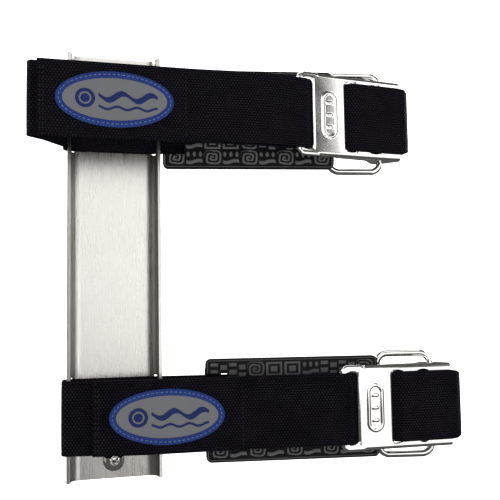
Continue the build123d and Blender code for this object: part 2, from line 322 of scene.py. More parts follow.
def rounded_path(points, radii, step):
    """Points at equal steps along straight runs joined by tangent arcs."""
    rough = [np.array([points[0]])]
    for index, radius in enumerate(radii):
        rough.append(arc_points(*points[index:index + 3], radius))
    rough = np.concatenate(rough + [np.array([points[-1]])])
    return walked(rough, step)


def walked(rough, step):
    """The same line, with its points at equal distances."""
    gaps = np.linalg.norm(np.diff(rough, axis=0), axis=1)
    rough = rough[np.concatenate([[True], gaps > 1e-9])]
    reach = np.concatenate([[0], np.cumsum(gaps[gaps > 1e-9])])
    stations = np.linspace(0, reach[-1], max(2, ceil(reach[-1] / step)) + 1)
    return np.stack([np.interp(stations, reach, rough[:, k]) for k in (0, 1)], axis=1)


def side_of(path):
    """Unit vectors square to a path, a quarter turn to its left."""
    ahead = np.gradient(path, axis=0)
    ahead /= np.linalg.norm(ahead, axis=1)[:, None]
    return np.stack([-ahead[:, 1], ahead[:, 0]], axis=1)


def reach_of(path):
    """Distance walked along a path at each of its points."""
    gaps = np.linalg.norm(np.diff(path, axis=0), axis=1)
    return np.concatenate([[0], np.cumsum(gaps)])


def stood(plan, z):
    """Model points from plan points (x, w) and heights z."""
    return np.stack([plan[..., 0], -plan[..., 1], z + 0 * plan[..., 0]], axis=-1)


test_path = rounded_path([(0, 0), (50, 0), (50, 50)], [10], 1)
print("test path", reach_of(test_path)[-1], "should be", 80 + 5 * pi)

# %% [markdown]
# ## Effects that several finishes share
# A node group is a small machine with named inputs and outputs.  Each one here
# puts out only a height, a mask or a colour; the shader itself stays in each
# material.  The yarn group makes the brick-like bumps of heavy webbing from the
# piece's own UV map, which runs along the strap in centimetres, so that the
# weave turns every corner with the cloth.


# %% Node helpers
class Wiring:
    """Adds nodes to a tree and joins them, with plain numbers allowed as inputs."""

    def __init__(self, tree):
        self.tree = tree

    def node(self, kind, **settings):
        made = self.tree.nodes.new(kind)
        for label, value in settings.items():
            setattr(made, label, value)
        return made

    def feed(self, socket, value):
        if isinstance(value, bpy.types.NodeSocket):
            self.tree.links.new(value, socket)
        else:
            socket.default_value = value

    def math(self, operation, *values):
        made = self.node("ShaderNodeMath", operation=operation)
        for socket, value in zip(made.inputs, values):
            self.feed(socket, value)
        return made.outputs[0]

    def vector(self, operation, *values):
        made = self.node("ShaderNodeVectorMath", operation=operation)
        for socket, value in zip(made.inputs, values):
            self.feed(socket, value)
        return made.outputs[0]

    def noise(self, place, scale, detail=3.0, rough=0.5):
        made = self.node("ShaderNodeTexNoise")
        self.feed(made.inputs["Vector"], place)
        self.feed(made.inputs["Scale"], scale)
        self.feed(made.inputs["Detail"], detail)
        self.feed(made.inputs["Roughness"], rough)
        return made.outputs["Fac"]

    def span(self, value, low, high, new_low, new_high):
        made = self.node("ShaderNodeMapRange")
        for socket, given in zip(made.inputs, (value, low, high, new_low, new_high)):
            self.feed(socket, given)
        return made.outputs[0]

    def blend(self, factor, first, second):
        made = self.node("ShaderNodeMix", data_type="RGBA")
        for socket, value in zip((made.inputs[0], made.inputs[6], made.inputs[7]), (factor, first, second)):
            self.feed(socket, value)
        return made.outputs[2]

    def group(self, tree, **values):
        made = self.node("ShaderNodeGroup", node_tree=tree)
        for label, value in values.items():
            self.feed(made.inputs[label], value)
        return made.outputs


def new_group(name, inputs, outputs):
    """An empty group with named sockets, and its wiring, inlet and outlet."""
    tree = bpy.data.node_groups.new(name, "ShaderNodeTree")
    for label, kind, start in inputs:
        socket = tree.interface.new_socket(label, in_out="INPUT", socket_type=kind)
        if start is not None:
            socket.default_value = start
    for label, kind in outputs:
        tree.interface.new_socket(label, in_out="OUTPUT", socket_type=kind)
    wiring = Wiring(tree)
    return tree, wiring, wiring.node("NodeGroupInput"), wiring.node("NodeGroupOutput")


FLOAT = "NodeSocketFloat"
VECTOR = "NodeSocketVector"


# %% The yarn group
def yarn_group():
    """Height of a brick weave: sin(pi u) * sin(pi v) in each yarn's own cell."""
    inputs = (("Place", VECTOR, None), ("Along", FLOAT, 0.18), ("Across", FLOAT, 0.16))
    outputs = (("Height", FLOAT), ("Lift", FLOAT))
    tree, wiring, inlet, outlet = new_group("yarn", inputs, outputs)
    split = wiring.node("ShaderNodeSeparateXYZ")
    wiring.feed(split.inputs[0], inlet.outputs["Place"])
    row = wiring.math("DIVIDE", split.outputs[1], inlet.outputs["Across"])
    shift = wiring.math("MULTIPLY", wiring.math("FLOOR", row), 0.5)
    column = wiring.math("DIVIDE", split.outputs[0], inlet.outputs["Along"])
    u = wiring.math("FRACT", wiring.math("ADD", column, shift))
    v = wiring.math("FRACT", row)
    across = wiring.math("SINE", wiring.math("MULTIPLY", v, pi))
    along = wiring.math("SINE", wiring.math("MULTIPLY", u, pi))
    height = wiring.math("POWER", wiring.math("MULTIPLY", across, along), 0.6)
    wiring.feed(outlet.inputs["Height"], height)
    wiring.feed(outlet.inputs["Lift"], wiring.span(height, 0.35, 0.95, 0.0, 1.0))
    return tree


# %% The mottle and grain groups
def mottle_group():
    """Slow and fast noise added up: uneven dye, handling marks and dust, and on cloth an uneven painted
    highlight.
    """
    inputs = (("Place", VECTOR, None), ("Scale", FLOAT, 60.0))
    outputs = (("Slow", FLOAT), ("Fast", FLOAT))
    tree, wiring, inlet, outlet = new_group("mottle", inputs, outputs)
    place, scale = inlet.outputs["Place"], inlet.outputs["Scale"]
    slow = wiring.noise(place, scale, 4.0, 0.6)
    fast = wiring.noise(place, wiring.math("MULTIPLY", scale, 18.0), 2.0, 0.7)
    wiring.feed(outlet.inputs["Slow"], wiring.span(slow, 0.3, 0.7, 0.0, 1.0))
    wiring.feed(outlet.inputs["Fast"], wiring.span(fast, 0.3, 0.7, 0.0, 1.0))
    return tree


def grain_group():
    """Noise drawn out along one way, as a belt leaves it on sheet metal."""
    inputs = (("Place", VECTOR, None), ("Stretch", VECTOR, (1.0, 1.0, 1.0)))
    outputs = (("Streak", FLOAT), ("Scratch", FLOAT))
    tree, wiring, inlet, outlet = new_group("grain", inputs, outputs)
    drawn = wiring.vector("MULTIPLY", inlet.outputs["Place"], inlet.outputs["Stretch"])
    streak = wiring.noise(drawn, 1.0, 5.0, 0.65)
    finer = wiring.noise(wiring.vector("MULTIPLY", drawn, (3.1, 3.1, 3.1)), 1.0, 2.0, 0.5)
    wiring.feed(outlet.inputs["Streak"], wiring.span(streak, 0.3, 0.7, 0.0, 1.0))
    wiring.feed(outlet.inputs["Scratch"], wiring.span(finer, 0.62, 0.75, 0.0, 1.0))
    return tree


YARN = yarn_group()
MOTTLE = mottle_group()
GRAIN = grain_group()
print("groups", [group.name for group in bpy.data.node_groups])


# %% [markdown]
# ## Finishes
# Every finish starts from one Principled shader.  Nylon webbing is nearly
# black; the crowns of its yarns carry a faint blue painted highlight in their
# colour.  Steel sheet is brushed along its length.  The lever and the wire are
# polished, so their looks come from the lights, with only faint handling marks.


# %% A finish to start from
def new_finish(name, **settings):
    """A material, its wiring, and its Principled shader."""
    material = bpy.data.materials.new(name)
    material.use_nodes = True
    wiring = Wiring(material.node_tree)
    shader = material.node_tree.nodes["Principled BSDF"]
    for label, value in settings.items():
        shader.inputs[label.replace("_", " ")].default_value = value
    return material, wiring, shader


def raise_bumps(wiring, shader, height, distance, strength=1.0):
    """Joins a height to the shader's normal.  The distance is in metres."""
    bump = wiring.node("ShaderNodeBump")
    bump.inputs["Strength"].default_value = strength
    bump.inputs["Distance"].default_value = distance
    wiring.feed(bump.inputs["Height"], height)
    wiring.feed(shader.inputs["Normal"], bump.outputs[0])


def object_place(wiring):
    return wiring.node("ShaderNodeTexCoord").outputs["Object"]


def cloth_place(wiring):
    return wiring.node("ShaderNodeUVMap", uv_map="cloth").outputs[0]


# %% Webbing and tapes
def cloth_finish(name, dark, light, along, across, bump):
    """Yarns from the cloth's own UV map, mottled, with a painted highlight on their crowns."""
    material, wiring, shader = new_finish(name, Specular_IOR_Level=0.07)
    place = cloth_place(wiring)
    yarn = wiring.group(YARN, Place=place, Along=along, Across=across)
    spots = wiring.group(MOTTLE, Place=object_place(wiring), Scale=70.0)
    # Painted highlight: the lighter colour is laid on the crowns of the yarns.
    painted_crown_highlight = wiring.math("MULTIPLY", yarn["Lift"], wiring.span(spots["Slow"], 0, 1, 0.45, 1.0))
    wiring.feed(shader.inputs["Base Color"], wiring.blend(painted_crown_highlight, dark, light))
    rough = wiring.span(yarn["Height"], 0, 1, 0.85, 0.5)
    fuzz = wiring.math("MULTIPLY", spots["Fast"], 0.08)
    wiring.feed(shader.inputs["Roughness"], wiring.math("ADD", rough, fuzz))
    height = wiring.math("ADD", yarn["Height"], wiring.math("MULTIPLY", spots["Fast"], 0.25))
    raise_bumps(wiring, shader, height, bump)
    return material


# The second colour of each cloth is the painted highlight on its yarn crowns.
WEBBING = cloth_finish(
    "webbing", (0.0003, 0.0002, 0.0004, 1), (0.013, 0.0105, 0.02, 1), 0.22, 0.18, 0.0008,
)
TAPE = cloth_finish("tape", (0.001, 0.001, 0.0014, 1), (0.008, 0.008, 0.01, 1), 0.08, 0.08, 0.0003)


def thread_finish(name, dark, light):
    """Twisted thread: fine slanted ridges."""
    material, wiring, shader = new_finish(name, Specular_IOR_Level=0.3)
    place = object_place(wiring)
    twist = wiring.node("ShaderNodeTexWave", wave_type="BANDS", bands_direction="DIAGONAL")
    wiring.feed(twist.inputs["Vector"], place)
    twist.inputs["Scale"].default_value = 900.0
    wiring.feed(shader.inputs["Base Color"], wiring.blend(twist.outputs["Fac"], dark, light))
    wiring.feed(shader.inputs["Roughness"], wiring.span(twist.outputs["Fac"], 0, 1, 0.7, 0.5))
    raise_bumps(wiring, shader, twist.outputs["Fac"], 0.0001)
    return material


DARK_THREAD = thread_finish("dark_thread", (0.001, 0.001, 0.0015, 1), (0.012, 0.011, 0.017, 1))
PALE_THREAD = thread_finish("pale_thread", (0.04, 0.07, 0.2, 1), (0.13, 0.19, 0.38, 1))


# %% Metals
def brushed_finish(name, dull, bright, stretch, rough):
    """Belt-brushed sheet: streaks along Z in colour, roughness and height."""
    material, wiring, shader = new_finish(name, Metallic=1.0)
    place = object_place(wiring)
    grain = wiring.group(GRAIN, Place=place, Stretch=stretch)
    spots = wiring.group(MOTTLE, Place=place, Scale=14.0)
    streaked = wiring.math("MULTIPLY", grain["Streak"], 0.6)
    clouded = wiring.math("MULTIPLY", spots["Slow"], 0.4)
    tone = wiring.math("ADD", streaked, clouded)
    wiring.feed(shader.inputs["Base Color"], wiring.blend(tone, dull, bright))
    spread = wiring.span(grain["Streak"], 0, 1, rough - 0.07, rough + 0.08)
    haze = wiring.math("MULTIPLY", spots["Slow"], 0.06)
    wiring.feed(shader.inputs["Roughness"], wiring.math("ADD", spread, haze))
    scratched = wiring.math("SUBTRACT", grain["Streak"], wiring.math("MULTIPLY", grain["Scratch"], 0.6))
    raise_bumps(wiring, shader, scratched, 0.00004)
    return material


def polished_finish(name, tone, rough):
    """Polished stainless: faint wipes and scratches over a mirror."""
    material, wiring, shader = new_finish(name, Metallic=1.0)
    place = object_place(wiring)
    grain = wiring.group(GRAIN, Place=place, Stretch=(300.0, 900.0, 1400.0))
    spots = wiring.group(MOTTLE, Place=place, Scale=45.0)
    dim = tuple(0.86 * part for part in tone[:3]) + (1,)
    wiring.feed(shader.inputs["Base Color"], wiring.blend(spots["Slow"], dim, tone))
    smear = wiring.math("MULTIPLY", spots["Slow"], 0.05)
    marks = wiring.math("MULTIPLY", grain["Scratch"], 0.12)
    wiring.feed(shader.inputs["Roughness"], wiring.math("ADD", wiring.math("ADD", smear, marks), rough))
    raise_bumps(wiring, shader, spots["Slow"], 0.000008)
    return material


BRUSHED = brushed_finish(
    "brushed_steel", (0.5, 0.48, 0.45, 1), (0.72, 0.7, 0.67, 1), (2600.0, 2600.0, 90.0), 0.27,
)
POLISHED = polished_finish("polished_steel", (0.82, 0.81, 0.79, 1), 0.07)


# %% Rubber and patch
def relief_finish(name, low, high, attribute, rough, grain):
    """Moulded rubber or plastic, paler where a stored value says it is raised."""
    material, wiring, shader = new_finish(name, Specular_IOR_Level=0.2)
    stored = wiring.node("ShaderNodeAttribute", attribute_name=attribute)
    spots = wiring.group(MOTTLE, Place=object_place(wiring), Scale=90.0)
    pale = wiring.span(stored.outputs["Fac"], 0.25, 0.75, 0.0, 1.0)
    colour = wiring.blend(pale, low, high)
    shade = tuple(0.8 * part for part in high[:3]) + (1,)
    wear = wiring.math("MULTIPLY", spots["Slow"], 0.5)
    worn = wiring.blend(wiring.math("MULTIPLY", pale, wear), colour, shade)
    wiring.feed(shader.inputs["Base Color"], worn)
    fuzz = wiring.math("MULTIPLY", spots["Fast"], 0.12)
    wiring.feed(shader.inputs["Roughness"], wiring.math("ADD", fuzz, rough))
    raise_bumps(wiring, shader, wiring.math("ADD", spots["Fast"], spots["Slow"]), grain)
    return material


PAD_RUBBER = relief_finish(
    "pad_rubber", (0.003, 0.003, 0.0035, 1), (0.085, 0.085, 0.088, 1), "relief", 0.55, 0.00006,
)
PATCH_BLUE = relief_finish(
    "patch_rim", (0.003, 0.012, 0.075, 1), (0.01, 0.034, 0.17, 1), "relief", 0.6, 0.00005,
)
PATCH_GREY = relief_finish(
    "patch_face", (0.108, 0.11, 0.118, 1), (0.003, 0.012, 0.08, 1), "relief", 0.55, 0.00005,
)
print("finishes", [material.name for material in bpy.data.materials])

# %% [markdown]
# ## Sheet metal with holes
# The channel and the levers are pressed from flat sheet, so they are drawn the
# way a press shop draws them: a flat grid first, with its holes, then the fold.
# A hole takes out a rectangle of cells.  The gap is closed by a ring of faces,
# whose inner edge is each outer point moved straight to the nearest place on
# the hole's rounded outline.


# %% A flat sheet with holes
def ticks(low, high, step, marks=()):
    """Even stations from low to high, with each mark among them."""
    even = np.linspace(low, high, max(2, ceil((high - low) / step)) + 1)
    marks = np.array([mark for mark in marks if low < mark < high])
    far = np.array([np.min(np.abs(marks - value)) > step / 3 if len(marks) else True for value in even])
    far[[0, -1]] = True
    return np.unique(np.concatenate([even[far], marks]))


def onto_outline(points, hole):
    """Nearest places on a rounded rectangle: (low a, high a, low b, high b, radius, margin)."""
    low_a, high_a, low_b, high_b, radius, _ = hole
    low = np.array([low_a + radius, low_b + radius])
    high = np.array([high_a - radius, high_b - radius])
    core = np.clip(points, low, high)
    out = points - core
    return core + radius * out / np.linalg.norm(out, axis=1)[:, None]


def flat_sheet(a, b, holes, layers):
    """Grid points (a, b), its faces, and how far into a hole's lip each point lies."""
    points = np.stack(np.meshgrid(a, b, indexing="ij"), axis=-1).reshape(-1, 2)
    faces = grid_faces(len(a), len(b))
    lip = np.zeros(len(points))
    number = np.arange(len(points)).reshape(len(a), len(b))
    for hole in holes:
        margin = hole[5]
        i0, i1 = (int(np.argmin(np.abs(a - edge))) for edge in (hole[0] - margin, hole[1] + margin))
        j0, j1 = (int(np.argmin(np.abs(b - edge))) for edge in (hole[2] - margin, hole[3] + margin))
        inside = number[i0:i1, j0:j1].ravel()
        faces = faces[~np.isin(faces[:, 0], inside)]
        edge = np.concatenate([
            number[i0:i1, j0],
            number[i1, j0:j1],
            number[i0 + 1:i1 + 1, j1][::-1],
            number[i0, j0 + 1:j1 + 1][::-1],
        ])
        target = onto_outline(points[edge], hole)
        rings = [points[edge] + (target - points[edge]) * k / layers for k in range(1, layers + 1)]
        start = len(points)
        points = np.concatenate([points] + rings)
        lip = np.concatenate([lip] + [np.full(len(edge), k / layers) for k in range(1, layers + 1)])
        ring = np.concatenate([edge, start + np.arange(layers * len(edge))])
        faces = np.concatenate([faces, ring[grid_faces(layers + 1, len(edge), close_columns=True)][:, ::-1]])
    used = np.unique(faces)
    renumber = np.zeros(len(points), dtype=int)
    renumber[used] = np.arange(len(used))
    return points[used], renumber[faces], lip[used]


def hole_marks(holes, first):
    """Grid lines that a hole's outer rectangle needs, along a (0) or b (2)."""
    return [hole[first + k] + way * hole[5] for hole in holes for k, way in ((0, -1), (1, 1))]


def rim_edges(faces):
    """Edges that only one face uses, each in that face's own direction."""
    edges = np.concatenate([faces[:, [k, (k + 1) % 4]] for k in range(4)])
    keys = np.sort(edges, axis=1)
    _, back, counts = np.unique(keys, axis=0, return_inverse=True, return_counts=True)
    return edges[counts[back.ravel()] == 1]


def between(front, back, faces):
    """A closed shape between two copies of one sheet: (points, faces)."""
    count = len(front)
    edges = rim_edges(faces)
    walls = np.stack([edges[:, 1], edges[:, 0], edges[:, 0] + count, edges[:, 1] + count], axis=1)
    return np.concatenate([front, back]), np.concatenate([faces, faces[:, ::-1] + count, walls])


def thicken(piece, thick, edge, angle=40.0):
    """Solidify and bevel modifiers: sheet of a real thickness with eased edges."""
    solid = piece.modifiers.new("thickness", "SOLIDIFY")
    solid.thickness = thick * MM
    solid.offset = 0.0
    solid.use_even_offset = True
    bevel = piece.modifiers.new("eased edges", "BEVEL")
    bevel.width = edge * MM
    bevel.segments = 2
    bevel.limit_method = "ANGLE"
    bevel.angle_limit = radians(angle)
    bevel.harden_normals = True
    return piece


# %% [markdown]
# ## The channel
# One strip of stainless sheet with two folds.  Its grid runs across the strip
# as the press would unroll it, and up its length.  Each flange has two slots
# for the bands, and the web has two holes for the bolts.  The holes are the
# bolts' necks plus a little play.

# %% Channel
def channel_profile():
    """The folded centre line, and the distance walked along it."""
    lean = radians(FLANGE_ANGLE)
    tip = CHANNEL_HALF_WIDTH - SHEET / 2 * sin(lean)
    rise = CHANNEL_DEPTH - SHEET / 2 * cos(lean) - SHEET / 2
    corner = tip - rise / tan(lean)
    points = [(-tip, SHEET / 2 + rise), (-corner, SHEET / 2), (corner, SHEET / 2), (tip, SHEET / 2 + rise)]
    path = rounded_path(points, [BEND_RADIUS, BEND_RADIUS], 0.25)
    return path, reach_of(path)


def make_channel():
    """The folded sheet with its slots and bolt holes cut, as one piece."""
    path, reach = channel_profile()
    middle = reach[-1] / 2
    flange = path[:, 0] > CHANNEL_HALF_WIDTH / 2
    low, high = np.interp((SHEET + 0.6, CHANNEL_DEPTH - SLOT_RIM), path[flange, 1], reach[flange]) - middle
    slot_half = STRAP_WIDTH / 2 + STRAP_PLAY
    holes = []
    for z in (-STRAP_Z, STRAP_Z):
        rows = (z - slot_half, z + slot_half)
        holes += [(low, high, *rows, 1.2, 0.8), (-high, -low, *rows, 1.2, 0.8)]
    bolts = [-STUD_SPACING / 2, STUD_SPACING / 2]
    holes += [(-4.45, 4.45, z - 4.45, z + 4.45, 4.449, 0.8) for z in bolts]
    a = ticks(-middle, middle, 0.8, hole_marks(holes, 0))
    b = ticks(-CHANNEL_LENGTH / 2, CHANNEL_LENGTH / 2, 2.0, hole_marks(holes, 2))
    flat, faces, _ = flat_sheet(a, b, holes, 2)
    plan = np.stack([np.interp(flat[:, 0] + middle, reach, path[:, k]) for k in (0, 1)], axis=1)
    piece = new_piece("channel", stood(plan, flat[:, 1]), faces, closed=False)
    return thicken(piece, SHEET, 0.35)


give(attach(make_channel(), "adapter"), BRUSHED, "brushed_steel", "adapter_channel")

# %% [markdown]
# ## The bolts
# Each is one turned profile swept round.  Two rows break the roundness: the
# recess follows a hexagon, and the thread's crest climbs one pitch each turn.

# %% Bolts
HEAD_RADIUS = 7.8
HEAD_HEIGHT = 4.6
HEX_ACROSS = 5.0
HEX_DEPTH = 2.6
BOLT_RADIUS = 4.0
NECK_RADIUS = 4.2
BOLT_REACH = 25.0
THREAD_PITCH = 1.25
THREAD_DEPTH = 0.6


def make_bolts():
    """Both bolts, each swept round its own axis from rows of (radius, height)."""
    angle = np.linspace(0, 2 * pi, 96, endpoint=False)
    ball = (HEAD_RADIUS ** 2 + HEAD_HEIGHT ** 2) / (2 * HEAD_HEIGHT)
    hexagon = HEX_ACROSS / 2 / np.cos((angle + pi / 6) % (pi / 3) - pi / 6)
    floor = HEAD_HEIGHT - HEX_DEPTH
    top = HEAD_HEIGHT - ball + np.sqrt(ball ** 2 - (hexagon + 0.3) ** 2)
    rows = [(0 * angle + 0.02, floor - 0.8), (hexagon, floor), (hexagon, top - 0.25), (hexagon + 0.3, top)]
    for lean in np.linspace(0.42, 0.98, 14):
        reach = HEAD_RADIUS * lean
        rows.append((0 * angle + reach, HEAD_HEIGHT - ball + sqrt_of(ball ** 2 - reach ** 2)))
    rows += [(0 * angle + HEAD_RADIUS, 0.35), (0 * angle + HEAD_RADIUS - 0.25, 0.05)]
    rows += [(0 * angle + NECK_RADIUS, 0.05), (0 * angle + NECK_RADIUS, -SHEET)]
    rows += [(0 * angle + BOLT_RADIUS, -SHEET - 0.1)]
    stations = np.linspace(0.5, BOLT_REACH - 0.8, 200)
    for along in stations:
        phase = (along / THREAD_PITCH - angle / (2 * pi)) % 1
        cut = THREAD_DEPTH * np.abs(2 * phase - 1) * min(1, (along - 0.4) / 2)
        rows.append((BOLT_RADIUS - cut, -SHEET - along))
    rows += [(0 * angle + BOLT_RADIUS - 0.9, -SHEET - BOLT_REACH), (0 * angle + 0.02, -SHEET - BOLT_REACH)]
    radius = np.stack([row[0] for row in rows])
    height = np.stack([row[1] + 0 * angle for row in rows])
    parts = []
    for z in (-STUD_SPACING / 2, STUD_SPACING / 2):
        spot = np.stack([radius * np.cos(angle), -SHEET - height, z + radius * np.sin(angle)], axis=-1)
        parts.append((spot, grid_faces(len(rows), len(angle), close_columns=True)))
    return new_piece("bolts", *joined(parts))


def sqrt_of(value):
    return max(value, 0.0) ** 0.5


give(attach(make_bolts(), "adapter"), POLISHED, "polished_steel", "mounting_bolts")

# %% [markdown]
# ## Webbing
# A strap is one section carried along a path: two flat faces and two round
# selvedges.  Near each selvedge the cloth thins a little, where the weave packs
# tighter.  The UV map runs in centimetres along and across, which the yarn
# group reads.


# %% Strips of webbing
def strap_section(width, thick, steps):
    """Half of the section: (across, out) from one selvedge tip to the other."""
    edge = thick / 2
    half = width / 2 - edge
    quarter = (np.arange(4) + 0.5) / 4 * pi / 2
    left = np.stack([-half - edge * np.cos(quarter), edge * np.sin(quarter)], axis=1)
    across = np.linspace(-half, half, steps)
    thin = 0.12 * np.exp(-((np.abs(across) - half + 2.2) / 0.9) ** 2)
    face = np.stack([across, edge - thin], axis=1)
    right = left[::-1] * (-1, 1)
    front = np.concatenate([left, face, right])
    return np.concatenate([front, front[::-1] * (1, -1)])


def strip_parts(path, z, width, thick, wave=0.0, narrow=0.0):
    """Points, faces and cloth map of a strip on edge along a plan path.

    `narrow` says how many millimetres each selvedge is drawn in at each station.
    """
    section = strap_section(width, thick, 21)
    rows, columns = len(path), len(section)
    side = side_of(path)
    along = reach_of(path)
    out = section[None, :, 1] + wave * np.sin(along / 9.0)[:, None] * np.cos(section[None, :, 0] / 11.0)
    plan = path[:, None, :] + side[:, None, :] * out[:, :, None]
    drawn = 1 - 2 * np.broadcast_to(narrow, rows)[:, None] / width
    points = stood(plan, z + drawn * section[None, :, 0]).reshape(-1, 3)
    around = np.concatenate([[0], np.cumsum(np.linalg.norm(np.diff(section, axis=0), axis=1))])
    cloth = np.stack(np.broadcast_arrays(along[:, None] / 10, around[None, :] / 10), axis=-1).reshape(-1, 2)
    faces = grid_faces(rows, columns, close_columns=True)
    j = np.arange(columns // 2 - 1)
    cap = np.stack([j, j + 1, columns - 2 - j, columns - 1 - j], axis=1)
    last = (rows - 1) * columns
    faces = np.concatenate([faces, cap, cap[:, ::-1] + last])
    return points, faces, cloth


def strip(name, path, z, width, thick, material, slot, nodes, wave=0.0, narrow=0.0):
    points, faces, cloth = strip_parts(path, z, width, thick, wave, narrow)
    return give(new_piece(name, points, faces, cloth), material, slot, *nodes)


def cut_path(path, low, high):
    """The part of a plan path whose x lies between two values."""
    return path[(path[:, 0] >= low) & (path[:, 0] <= high)]


# %% [markdown]
# ## The way each band goes
# A band starts at the bail.  It turns round the bail's bar, where it is sewn to
# itself, runs behind the pad into the channel, and leaves by the far flange's
# slot.  It climbs to a fold and comes back on the near side.  Under the lever it
# crosses the pivot wire, goes round the lever's end, and is woven down and up
# through two slots.  What is left over is the tail, held down by tape.

# %% Paths of a band
def long_path(band):
    """Sewn end, far run, channel, slot turn, riser, fold and start of the near run."""
    loop, length = LOOP_RADIUS, far_line(band)[2]
    under = -STRAP_THICK
    ends = [(-SEWN_LENGTH, under), (-SPLIT_LENGTH, under), (-2, -2 * loop), (loop, -2 * loop), (loop, 0)]
    points = [far_point(band, length + u, n) for u, n in ends]
    points += [(RUN_HALF, RUN_W), (SLOT_TURN_X, RUN_W)] + band["riser"] + [along_near(band, JOIN_LENGTH)]
    radii = [4.0, 3.0, loop - 0.01, loop - 0.01, 20.0, 3.4] + band["riser_radii"]
    return rounded_path(points, radii, 0.7)


def near_path(band):
    s, gap = band["under"]
    points = [along_near(band, JOIN_LENGTH)] + band["near"]
    points.append(lever_point(band, s, UNDER - STRAP_THICK - gap))
    points.append(lever_point(band, PIVOT_S + 8, PIVOT_GAP - PIVOT_DROP))
    return rounded_path(points, band["near_radii"], 0.9)


def buckle_path(band):
    low = PIVOT_GAP - PIVOT_DROP
    first, second = LEVER_SLOTS[0], LEVER_SLOTS[1]
    route = [
        (PIVOT_S + 8, low), (LEVER_LENGTH + 5.0, low - 0.2), (LEVER_LENGTH + 9.6, -3.6),
        (LEVER_LENGTH + 3.0, OVER + 0.2), (second[1] + 4.0, OVER), (second[1] - 1.2, OVER),
        (second[0] + 1.2, UNDER), (first[1] - 1.0, UNDER), ((first[0] + first[1]) / 2, (OVER + UNDER) / 2),
    ]
    points = [lever_point(band, s, h) for s, h in route]
    return rounded_path(points, [4.0, 4.0, 4.0, 30.0, 2.0, 2.0, 2.0], 0.6)


def tail_path(band):
    """From the free end to the middle of the lever's first slot."""
    first = LEVER_SLOTS[0]
    end = [(0, OVER), (first[0] + 1.0, OVER), ((first[0] + first[1]) / 2, (OVER + UNDER) / 2)]
    points = band["tail"] + [lever_point(band, s, h) for s, h in end]
    return rounded_path(points, band["tail_radii"] + [20.0, 2.0], 0.8)


def make_straps(name, band):
    """All the webbing of one band, as pieces; only the long one is attached to a body."""
    z, body = band["z"], name + "_"
    cloth = (z, STRAP_WIDTH, STRAP_THICK, WEBBING, "webbing")
    runs = ["sewn_end", "far_run", "channel_run", "slot_turn", "riser"]
    nodes = [f"{name}_strap_{run}" for run in runs]
    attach(strip(name + "_band_webbing", long_path(band), *cloth, nodes, 0.05), "adapter")
    nodes = [f"{name}_strap_near_run", f"{name}_strap_buckle_run"]
    near = strip(name + "_near_webbing", near_path(band), *cloth, nodes)
    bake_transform(near)
    path = buckle_path(band)
    turn = np.hypot(*(path - lever_point(band, LEVER_LENGTH + 9.6, -3.6)).T)
    drawn_in = 2.6 * np.exp(-(turn / 6.5) ** 2)
    wrap = strip(name + "_buckle_webbing", path, *cloth, [name + "_strap_buckle_wrap"], 0.0, drawn_in)
    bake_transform(wrap)
    tail = strip(name + "_tail_webbing", tail_path(band), *cloth, [name + "_strap_tail"], 0.05)
    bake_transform(tail)


for name, band in BANDS.items():
    make_straps(name, band)

# %% [markdown]
# ## Hook-and-loop tapes
# The near run carries the loop half and the tail carries the hook half.  Each
# lies on its strap's face, so its path is the strap's path moved out by half of
# both thicknesses.


# %% Tapes
def make_tapes(name, band):
    """The two hook-and-loop layers between the near run and the tail."""
    loop_low, loop_high, hook_low, hook_high = band["tapes"]
    out = (STRAP_THICK + TAPE_THICK) / 2
    near = near_path(band)
    start = rounded_path([band["riser"][-1], along_near(band, JOIN_LENGTH)], [], 0.9)
    whole = np.concatenate([start[:-1], near])
    loop_way = cut_path(whole + side_of(whole) * out, loop_low, loop_high)
    tail = tail_path(band)
    hook_way = cut_path(tail - side_of(tail) * out, hook_low, hook_high)
    tape = (band["z"], TAPE_WIDTH, TAPE_THICK, TAPE, "tape")
    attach(strip(name + "_loop_tape", loop_way, *tape, [name + "_loop_tape"]), "adapter")
    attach(strip(name + "_hook_tape", hook_way, *tape, [name + "_hook_tape"]), name + "_tail")


for name, band in BANDS.items():
    make_tapes(name, band)

# %% [markdown]
# ## Patches
# Each tail carries an oval patch: a blue bound rim and a grey moulded face with
# raised blue waves.  The mark is a plain invention.  Points are placed by how
# far they lie along X and Z from the patch's middle, and are then lifted from
# the strap's own surface, so that the patch bends with the strap.

# %% Laying things on the tail
PATCH_LENGTH = 79.0
PATCH_HEIGHT = 38.0
PATCH_RIM = 4.8
PATCH_THICK = 1.2


def on_path(path, x, out, z):
    """Points at given x on a strap's path, lifted square to it."""
    side = side_of(path)
    along = path[:, 0]
    w = np.interp(x, along, path[:, 1])
    side_x, side_w = (np.interp(x, along, side[:, k]) for k in (0, 1))
    return stood(np.stack([x + side_x * out, w + side_w * out], axis=-1), z)


def smooth(value, low, high):
    """0 below low, 1 above high, and an easy curve between."""
    t = np.clip((value - low) / (high - low), 0, 1)
    return t * t * (3 - 2 * t)


def patch_waves(x, z):
    """Where the face is raised: a ringed disc and two rolling waves, 0 to 1."""
    ring = np.hypot(x + 20.0, z)
    disc = smooth(6.6 - ring, -0.2, 0.3) * smooth(np.abs(ring - 3.6), 0.35, 0.75)
    inside = smooth(x, -12.0, -10.6) * smooth(29.0 - x, 0, 1.4)
    first = np.abs(z - 1.6 - 2.3 * np.sin(x / 3.1)) / (1 + 0.35 * np.cos(x / 3.1))
    second = np.abs(z + 6.0 - 1.0 * np.sin(x / 2.1 + 1.0))
    waves = np.maximum(smooth(1.9 - first, -0.2, 0.3), smooth(0.9 - second, -0.2, 0.3))
    return np.maximum(disc, inside * waves)


